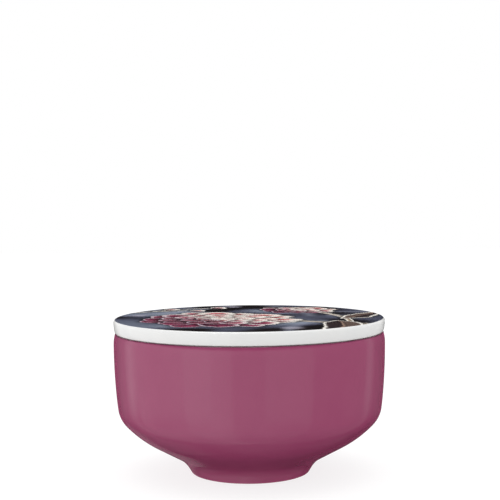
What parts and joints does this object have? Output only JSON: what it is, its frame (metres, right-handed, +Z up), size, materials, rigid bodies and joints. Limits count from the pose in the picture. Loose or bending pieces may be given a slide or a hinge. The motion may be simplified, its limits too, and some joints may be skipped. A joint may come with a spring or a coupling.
{
  "type": "lidded bowl",
  "caption": "Round glazed porcelain bowl on a foot ring, with a flat printed lid that lies flush on its rim and a seal ring on the skirt under the lid.",
  "frame": {"origin": "on the bowl's axis, in the plane that the foot ring stands on", "axes": "+Z up along the bowl's axis; the piece is round, so +X and +Y are free, and the picture looks along +Y"},
  "size_m": [0.15, 0.15, 0.0858],
  "materials": {
    "plum_glaze": "plum glaze outside with a soft gloss, white glaze inside, bare foot ring",
    "white_porcelain": "clear gloss glaze on white porcelain, with a floral print over the top",
    "silicone": "matt, milky"
  },
  "bodies": {
    "bowl": {"bowl": "plum_glaze"},
    "lid": {"lid": "white_porcelain", "lid_seal": "silicone"}
  },
  "joints": [
    {"name": "lid_lift", "type": "slide", "parent": "bowl", "child": "lid", "axis": [0, 0, 1], "range_m": [0, 0.12]}
  ]
}
